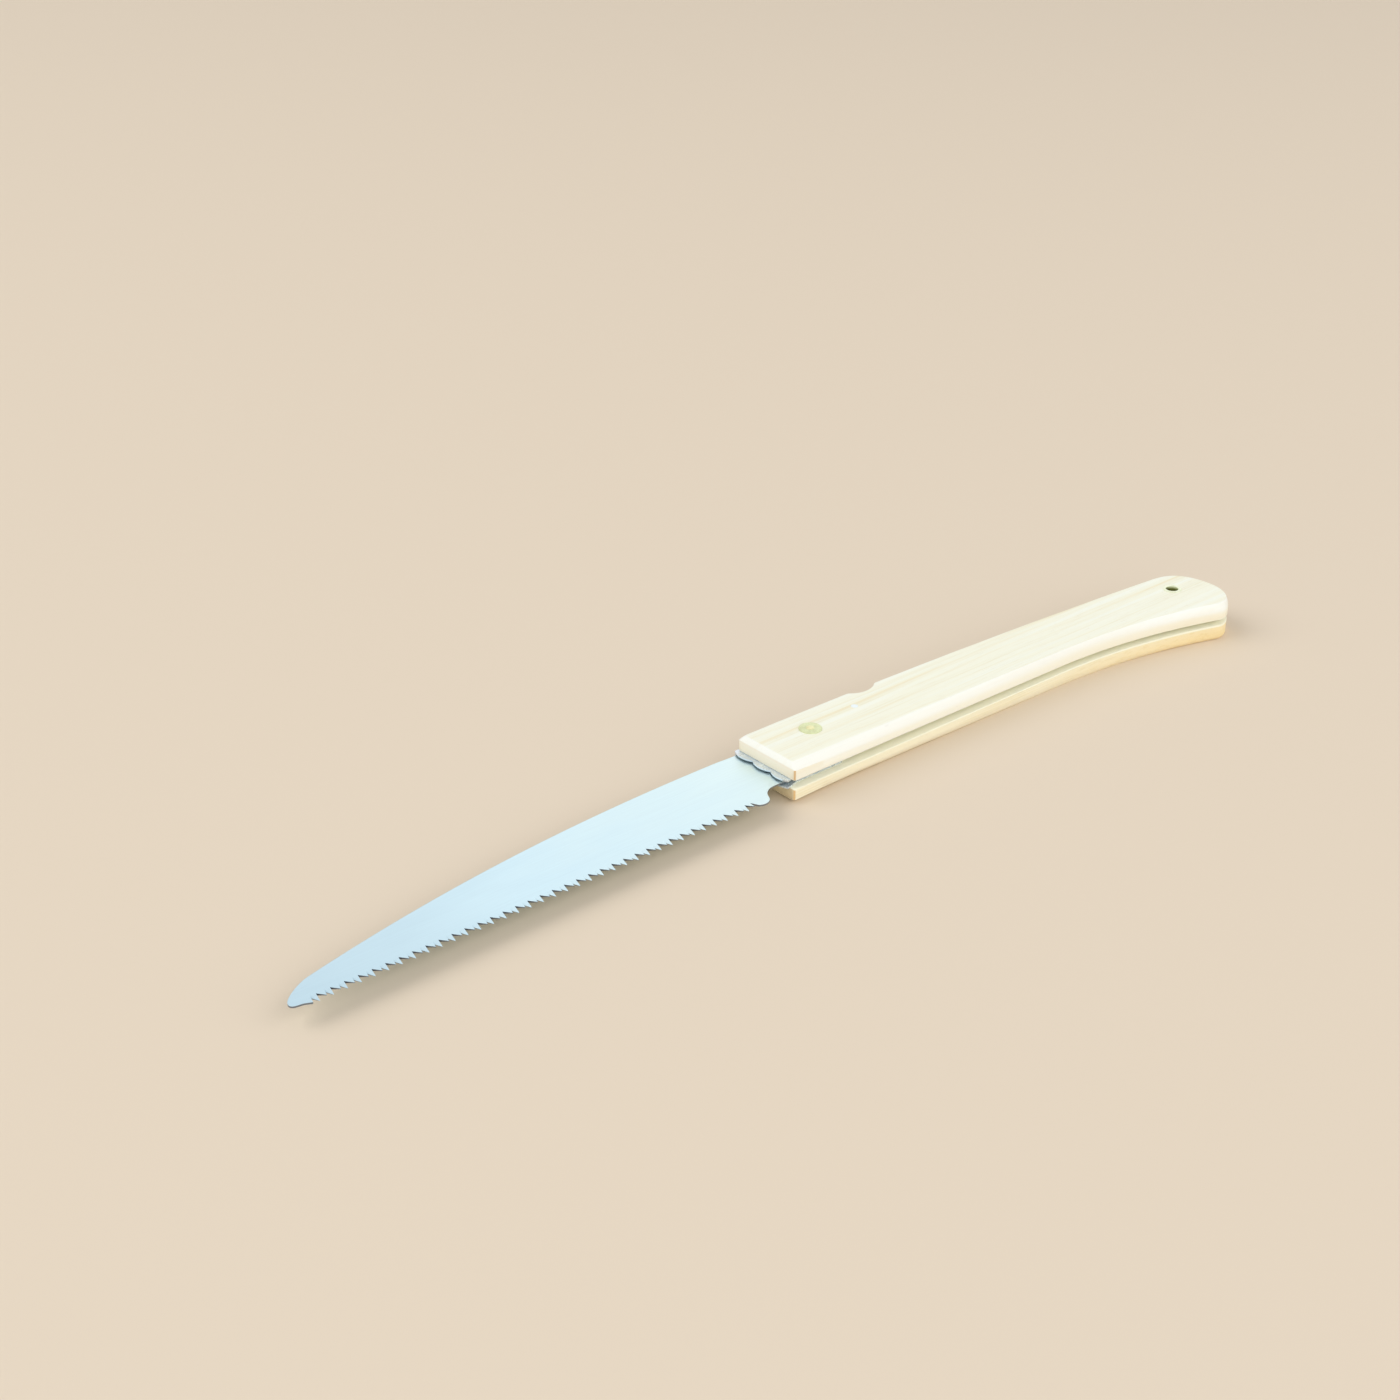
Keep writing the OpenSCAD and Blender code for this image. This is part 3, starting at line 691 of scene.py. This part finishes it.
class Shader:
    """Small helper that adds and links shader nodes."""

    MIX_INPUTS = (0, 6, 7)
    MIX_RESULT = 2

    def __init__(self, name):
        self.material = bpy.data.materials.new(name)
        self.material.use_nodes = True
        self.tree = self.material.node_tree
        self.base = self.tree.nodes["Principled BSDF"]
        self.place = self.add("ShaderNodeTexCoord").outputs["Object"]

    def give(self, socket, value):
        """Links a socket to another node, or sets its value."""
        if isinstance(value, bpy.types.NodeSocket):
            self.tree.links.new(value, socket)
        else:
            socket.default_value = value

    def add(self, kind, inputs=None, **settings):
        node = self.tree.nodes.new(kind)
        for key, value in settings.items():
            setattr(node, key, value)
        for key, value in (inputs or {}).items():
            self.give(node.inputs[key], value)
        return node

    def noise(self, scale, detail=4.0, rough=0.55, turn=(0, 0, 0), at=None, bend=0.0):
        """Noise stretched by a scale per metre along each axis."""
        place = self.add("ShaderNodeMapping", {"Vector": at or self.place, "Scale": scale, "Rotation": turn})
        return self.add("ShaderNodeTexNoise", {
            "Vector": place.outputs["Vector"], "Scale": 1.0, "Detail": detail, "Roughness": rough,
            "Distortion": bend}).outputs["Fac"]

    def ramp(self, value, stops, smoothly=True):
        """Colours at (position, colour) stops."""
        node = self.add("ShaderNodeValToRGB", {"Fac": value})
        node.color_ramp.interpolation = "EASE" if smoothly else "LINEAR"
        elements = node.color_ramp.elements
        while len(elements) < len(stops):
            elements.new(0.5)
        for element, (at, colour) in zip(elements, stops):
            element.position = at
            element.color = (*colour, 1.0)
        return node.outputs["Color"]

    def span(self, value, low, high, to_low=0.0, to_high=1.0):
        """Maps low to high onto another range, and holds the ends."""
        return self.add("ShaderNodeMapRange", {
            "Value": value, "From Min": low, "From Max": high,
            "To Min": to_low, "To Max": to_high}).outputs["Result"]

    def math(self, operation, a, b):
        return self.add("ShaderNodeMath", {0: a, 1: b}, operation=operation).outputs[0]

    def both(self, a, b):
        return self.math("MULTIPLY", a, b)

    def parts(self, vector):
        return self.add("ShaderNodeSeparateXYZ", {0: vector}).outputs

    def facing(self, axis):
        """How far the surface faces along an axis, either way."""
        normal = self.add("ShaderNodeTexCoord").outputs["Normal"]
        return self.math("ABSOLUTE", self.parts(normal)[axis], 0.0)

    def mix(self, factor, a, b, blend="MIX"):
        node = self.add("ShaderNodeMix", data_type="RGBA", blend_type=blend)
        for index, value in zip(self.MIX_INPUTS, (factor, a, b)):
            self.give(node.inputs[index], (*value, 1.0) if isinstance(value, tuple) else value)
        return node.outputs[self.MIX_RESULT]

    def tint(self, colour, mask, share, to):
        """Blends a colour in where a mask is set, up to a share."""
        return self.mix(self.both(mask, share), colour, to)

    def bump(self, height, strength, depth):
        return self.add("ShaderNodeBump", {
            "Height": height, "Strength": strength, "Distance": depth * MM}).outputs["Normal"]

    def surface(self, **inputs):
        for key, value in inputs.items():
            self.give(self.base.inputs[key.replace("_", " ")], value)
        return self.material


def grain(s):
    """Lengthwise grain: broad tones, fine streaks and short pores, with the masks for the later layers."""
    drift = s.noise(DRIFT_SCALE, 2.0)
    sway = s.add("ShaderNodeCombineXYZ", {"Y": s.span(drift, 0, 1, -DRIFT_Y, DRIFT_Y),
                                          "Z": s.span(drift, 0, 1, DRIFT_Z, -DRIFT_Z)}).outputs[0]
    bent = s.add("ShaderNodeVectorMath", {0: s.place, 1: sway}, operation="ADD").outputs[0]
    broad = s.noise(BROAD_SCALE, 3.0, at=bent)
    fine = s.noise(FINE_SCALE, 5.0, 0.65, at=bent)
    pores = s.span(s.noise(PORE_SCALE, 2.0, at=bent), *PORE_ZONE)
    streaks = s.ramp(fine, STREAK_TONES)
    colour = s.mix(STREAK_SHARE, s.ramp(broad, WOOD_TONES), streaks, "MULTIPLY")
    return s.tint(colour, pores, PORE_SHARE, PORE_COLOUR), streaks, fine, pores


def wood_sides(s, colour, streaks):
    """Painted highlight on tilted faces and rounded edges, painted shade on the yellower walls and lower
    scale, painted warm bounce light on the lower butt and painted light at the slot.
    """
    spot, rise = s.parts(s.place), s.facing(2)
    tilt = s.span(rise, *EDGE_SLOPE)
    # Painted highlight: faces that tilt away from flat, the rounded edges most, are paled towards white
    colour = s.tint(colour, tilt, EDGE_HIGHLIGHT_SHARE, EDGE_HIGHLIGHT_COLOUR)
    # Painted shade: upright walls are tinted yellower than the flat faces
    colour = s.tint(colour, s.span(rise, *WALL_SLOPE), WALL_SHADE_SHARE, WALL_SHADE_COLOUR)
    # Painted shade: tilted faces of the lower scale are tinted yellower and darkened by the streaks once more
    low = s.both(tilt, s.span(spot[2], *LOW_SHADE_ZONE, 0.0, LOW_SHADE_TINT))
    colour = s.mix(low, colour, LOW_SHADE_COLOUR)
    colour = s.mix(low, colour, streaks, "MULTIPLY")
    # Painted warm bounce light: tilted faces turn orange towards the butt and lower down
    warm = s.both(s.span(spot[0], *BUTT_ZONE), s.span(spot[2], *WARM_BOUNCE_ZONE, 0.0, WARM_BOUNCE_TINT))
    colour = s.mix(s.both(warm, tilt), colour, WARM_BOUNCE_COLOUR)
    # Painted light: faces at the height of the slot are paled, lifting the shade inside it
    slot = s.both(s.span(spot[2], *SLOT_ZONE), s.span(spot[2], *SLOT_ZONE_UP))
    return s.tint(colour, slot, SLOT_LIGHT_TINT, SLOT_LIGHT_COLOUR)


def wood_ends(s, colour):
    """Darker end grain, painted shade on the end faces of the lower scale, and orange front corners."""
    spot, lean = s.parts(s.place), s.facing(0)
    end = s.span(lean, *END_SLOPE)
    colour = s.tint(colour, end, END_SHARE, END_COLOUR)
    # Painted shade: end faces of the lower scale are darkened
    low_end_shade = s.both(end, s.span(spot[2], *LOW_SHADE_ZONE, 0.0, LOW_END_SHADE_SHARE))
    colour = s.mix(low_end_shade, colour, LOW_END_SHADE_COLOUR)
    edge = s.both(s.span(lean, *CORNER_SLOPE), s.span(lean, *CORNER_STOP))
    upright = s.span(s.facing(2), *UPRIGHT_SLOPE)
    corner = s.both(s.both(edge, upright), s.span(spot[0], *FRONT_ZONE))
    return s.tint(colour, corner, CORNER_SHARE, CORNER_COLOUR)


def wood():
    """Pale close-grained wood with a thin seal and a few handling marks."""
    s = Shader("pale_wood")
    colour, streaks, fine, pores = grain(s)
    colour = wood_ends(s, wood_sides(s, colour, streaks))
    marks = s.span(s.noise(MARK_SCALE, 1.0, bend=0.8), *MARK_ZONE)
    colour = s.tint(colour, marks, MARK_SHARE, MARK_COLOUR)
    height = s.math("SUBTRACT", fine, s.both(pores, 0.6))
    return s.surface(Base_Color=colour, Roughness=s.span(fine, 0.3, 0.7, 0.56, 0.44), Specular_IOR_Level=0.3,
                     Coat_Weight=0.2, Coat_Roughness=0.4, Normal=s.bump(height, 0.2, 0.05))


def blade_steel():
    """Satin ground steel: fine grinding lines, a painted reflection that pales the tone towards the heel, and
    painted shade on the cut edges.
    """
    s = Shader("satin_steel")
    lines = s.noise((60, 5200, 900), 4.0, 0.6, turn=LINE_TURN)
    cloud = s.noise((22, 60, 60), 3.0)
    scratch = s.span(s.noise((30, 1900, 400), 2.0, turn=SCRATCH_TURN), *SCRATCH_ZONE)
    # Painted reflection: the steel tone pales from the tip towards the heel
    way = s.math("ADD", s.span(s.parts(s.place)[0], *STEEL_REFLECTION_ZONE), s.span(cloud, 0, 1, -0.2, 0.2))
    tone = s.ramp(way, STEEL_TONE_AND_REFLECTION, smoothly=False)
    tone = s.mix(LINE_SHARE, tone, s.ramp(lines, STEEL_LINES), "MULTIPLY")
    tone = s.tint(tone, scratch, SCRATCH_SHARE, SCRATCH_COLOUR)
    # Painted shade: upright faces, the cut edges and tooth flanks, are darkened
    tone = s.tint(tone, s.span(s.facing(2), *CUT_SLOPE), CUT_SHADE_SHARE, CUT_SHADE_COLOUR)
    height = s.math("ADD", lines, s.both(scratch, -0.5))
    return s.surface(Base_Color=tone, Metallic=1.0, Roughness=s.span(lines, 0.25, 0.75, 0.36, 0.48),
                     Normal=s.bump(height, 0.12, 0.02))


def sheet_steel(name, dull, light, metal):
    """Bright sheet steel with rolling lines and dull patches."""
    s = Shader(name)
    lines = s.noise((900, 220, 220), 3.0)
    cloud = s.noise((180, 180, 180), 3.0)
    tone = s.ramp(cloud, ((0.3, dull), (0.7, light)))
    return s.surface(Base_Color=tone, Metallic=metal, Roughness=s.span(cloud, 0.3, 0.7, 0.34, 0.22),
                     Normal=s.bump(lines, 0.1, 0.02))


def brass(name, dull, light, rough):
    """Satin brass with a dull bloom, fine turning marks and painted shade on the parts inside the handle."""
    s = Shader(name)
    cloud = s.noise((420, 420, 420), 4.0)
    fine = s.noise((2600, 2600, 2600), 3.0)
    tone = s.ramp(cloud, ((0.32, dull), (0.62, light)))
    tone = s.mix(BRASS_MARK_SHARE, tone, s.ramp(fine, BRASS_MARKS), "MULTIPLY")
    # Painted shade: brass between the two faces of the handle, in the bore and the slot, is darkened
    height = s.parts(s.place)[2]
    inside = s.both(s.span(height, *BORE_SHADE_TOP), s.span(height, *BORE_SHADE_FOOT))
    tone = s.tint(tone, inside, BORE_SHADE_SHARE, BORE_SHADE)
    return s.surface(Base_Color=tone, Metallic=1.0, Normal=s.bump(fine, 0.15, 0.03),
                     Roughness=s.span(fine, 0.3, 0.7, rough + 0.08, rough - 0.05))


# Pieces


def make_wood():
    """The two drilled scales and the spacer between them."""
    pale = wood()
    slot = slot_rings()
    through = [(ORIGIN, RIVET_R + HOLE_GAP, 0, HANDLE_T), (PIN, PIN_HOLE, BELOW, ABOVE),
               (EYELET, EYELET_HOLE, BELOW, ABOVE)]
    top = ring_solid("wood_scale_upper", slot + edge_rings(FULL_SHARE))
    drill(top, through + [(ORIGIN, BURR_R + HOLE_GAP, BURR_SEAT, ABOVE),
                          (EYELET, EYELET_LIP, EYELET_SEAT, ABOVE)])
    low = ring_solid("wood_scale_lower", flipped(slot + edge_rings(LOW_SHARE)))
    drill(low, through + [(ORIGIN, BURR_R + HOLE_GAP, BELOW, LOW_SEAT),
                          (EYELET, EYELET_LIP, BELOW, LOW_SEAT)])
    roof = [(p.x, p.y, slot_top(p.x)) for p in spacer_plan()]
    spacer = ring_solid("wood_spacer", flipped([roof]) + [roof])
    drill(spacer, [(EYELET, EYELET_HOLE, 0, HANDLE_T)])
    for obj, node in ((top, "scale_top"), (low, "scale_bottom"), (spacer, "spacer")):
        smooth(obj, WOOD_SHARP)
        finish_piece(obj, "handle", pale, node)


def make_metal():
    """Blade, turned brass pieces, and materials and soft edges for the CAD nodes that stay."""
    sheet = sheet_steel("bright_sheet", *SHEET, SHEET_METAL)
    wire = sheet_steel("pin_wire", *WIRE, 1.0)
    pale = brass("pale_brass", *PALE_BRASS, 0.36)
    satin = brass("satin_brass", *SATIN_BRASS, 0.34)
    peened = brass("peened_brass", *PEENED_BRASS, 0.36)
    finish_piece(make_blade(), "blade", blade_steel(), "saw_blade")
    burr = lathe("rivet_burr_disc", ORIGIN, BURR_PROFILE)
    rivet = lathe("rivet_peened", ORIGIN, RIVET_PROFILE, PEEN_WAVE)
    eyelet = lathe("lanyard_eyelet_rolled", EYELET, EYELET_PROFILE)
    for obj, material, node in ((burr, satin, "rivet_burr"), (rivet, peened, "pivot_rivet"),
                                (eyelet, pale, "lanyard_eyelet")):
        smooth(obj, BRASS_SHARP)
        finish_piece(obj, "handle", material, node)
    for node, slot, material, width in (
            ("liner", "liner_steel", sheet, LINER_SOFT), ("liner_pins", "liner_steel", wire, PIN_SOFT),
            ("pivot_washers", "brass", satin, WASHER_SOFT), ("eyelet_washer", "brass", satin, WASHER_SOFT)):
        soften(frame["nodes"][node], width)
        paint(frame["nodes"][node], material)


# Stage, light and camera


def make_stage():
    bm = bmesh.new()
    half = FLOOR_SIZE / 2
    corners = ((-half, -half), (half, -half), (half, half), (-half, half))
    bm.faces.new([bm.verts.new((x, y, FLOOR_Z)) for x, y in corners])
    floor = new_object("floor", bm)
    paper = Shader("floor_paper")
    floor.data.materials.append(paper.surface(
        Base_Color=(*FLOOR_COLOUR, 1.0), Roughness=FLOOR_ROUGH, Specular_IOR_Level=FLOOR_GLOSS))


def make_lamp(name, at, size, watts, colour):
    """Soft round lamp that lights the part but isn't mirrored in it, so that pale metal doesn't clip."""
    data = bpy.data.lights.new(name, "AREA")
    data.shape, data.size, data.energy, data.color = "DISK", size, watts, colour
    lamp = bpy.data.objects.new(name, data)
    lamp.location = at
    lamp.rotation_euler = (-Vector(at)).to_track_quat("-Z", "Y").to_euler()
    lamp.visible_glossy = False
    bpy.context.scene.collection.objects.link(lamp)


def make_world():
    """Soft sky light; the camera and reflections see a plain white sky."""
    world = bpy.data.worlds.new("studio")
    bpy.context.scene.world = world
    world.use_nodes = True
    tree = world.node_tree
    light = tree.nodes["Background"]
    light.inputs["Color"].default_value = (*SKY_COLOUR, 1.0)
    light.inputs["Strength"].default_value = SKY_LIGHT
    seen = tree.nodes.new("ShaderNodeBackground")
    seen.inputs["Color"].default_value = (*SKY_SEEN, 1.0)
    path = tree.nodes.new("ShaderNodeLightPath")
    shown = path.outputs["Is Camera Ray"]
    for ray in ("Is Glossy Ray", "Is Transmission Ray"):
        either = tree.nodes.new("ShaderNodeMath")
        either.operation = "MAXIMUM"
        tree.links.new(shown, either.inputs[0])
        tree.links.new(path.outputs[ray], either.inputs[1])
        shown = either.outputs[0]
    pick = tree.nodes.new("ShaderNodeMixShader")
    for index, source in enumerate((shown, light.outputs[0], seen.outputs[0])):
        tree.links.new(source, pick.inputs[index])
    tree.links.new(pick.outputs[0], tree.nodes["World Output"].inputs["Surface"])


def make_camera():
    data = bpy.data.cameras.new("camera")
    data.sensor_fit, data.sensor_width, data.lens = "HORIZONTAL", SENSOR, LENS
    data.clip_start, data.clip_end = CLIP
    camera = bpy.data.objects.new("camera", data)
    camera.location = CAMERA_AT * MM
    flat = LOOK_FLAT.normalized() * math.cos(LOOK_DOWN)
    look = Vector((flat.x, flat.y, -math.sin(LOOK_DOWN)))
    camera.rotation_euler = look.to_track_quat("-Z", "Y").to_euler()
    bpy.context.scene.collection.objects.link(camera)
    bpy.context.scene.camera = camera


make_wood()
make_metal()
make_stage()
make_world()
for lamp_row in LAMPS:
    make_lamp(*lamp_row)
make_camera()
bpy.context.scene.view_settings.view_transform = "Standard"
